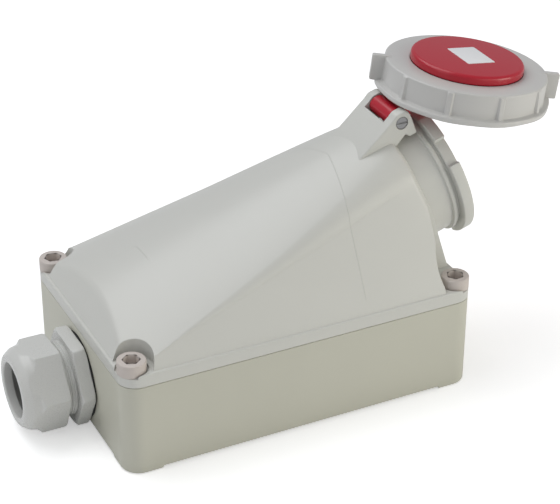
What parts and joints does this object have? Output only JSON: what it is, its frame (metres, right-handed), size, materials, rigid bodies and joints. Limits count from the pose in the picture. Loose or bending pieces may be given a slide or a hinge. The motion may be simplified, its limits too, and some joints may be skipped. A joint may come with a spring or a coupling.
{
  "type": "wall-mounted industrial socket box",
  "caption": "Grey wall box with a tilted round industrial socket, a hinged red lid in a turning bayonet ring, and a cable gland at the low end.",
  "frame": {"origin": "centre of the four wall holes, in the plane of the feet's undersides", "axes": "+Z away from the wall, +X along the casing towards the socket, the gland at -X"},
  "size_m": [0.3884, 0.16, 0.2063],
  "materials": {
    "casing_grey": "semi-gloss moulded plastic",
    "cover_grey": "semi-gloss moulded plastic",
    "ring_grey": "semi-gloss moulded plastic",
    "gland_grey": "semi-gloss moulded nylon",
    "screw_grey": "satin moulded plastic",
    "red_plastic": "semi-gloss moulded plastic",
    "label_white": "matt film",
    "seal_rubber": "matt rubber",
    "steel": "plain steel",
    "contact_brass": "plain brass",
    "carrier_plastic": "satin moulded plastic"
  },
  "bodies": {
    "socket_box": {"base_casing": "casing_grey", "casing_gasket": "seal_rubber", "screw_inserts": "contact_brass", "upper_housing": "cover_grey", "cover_screws": "screw_grey", "contact_carrier": "carrier_plastic", "contact_earth": "contact_brass", "contact_neutral": "contact_brass", "contact_line_1": "contact_brass", "contact_line_2": "contact_brass", "contact_line_3": "contact_brass", "contact_pilot": "contact_brass", "terminal_screws": "steel", "carrier_screws": "steel", "shroud_seal": "seal_rubber", "hinge_pin": "steel", "pin_clip": "steel", "gland_body": "gland_grey", "gland_washer": "seal_rubber", "gland_claw": "gland_grey", "gland_seal": "seal_rubber"},
    "lid": {"lid_plate": "red_plastic", "lid_disc": "red_plastic", "rating_plate": "label_white", "lid_seal": "seal_rubber"},
    "ring": {"bayonet_ring": "ring_grey"},
    "nut": {"gland_nut": "gland_grey"}
  },
  "joints": [
    {"name": "lid_hinge", "type": "hinge", "parent": "socket_box", "child": "lid", "pos_m": [0.09883, 0, 0.17303], "axis": [0, 1, 0], "range_deg": [-38, 64]},
    {"name": "ring_turn", "type": "hinge", "parent": "lid", "child": "ring", "pos_m": [0.15871, 0, 0.19531], "axis": [0.1392, 0, 0.9903], "range_deg": [0, 35]},
    {"name": "nut_turn", "type": "hinge", "parent": "socket_box", "child": "nut", "pos_m": [-0.15, 0, 0.031], "axis": [-1, 0, 0], "continuous": true}
  ]
}
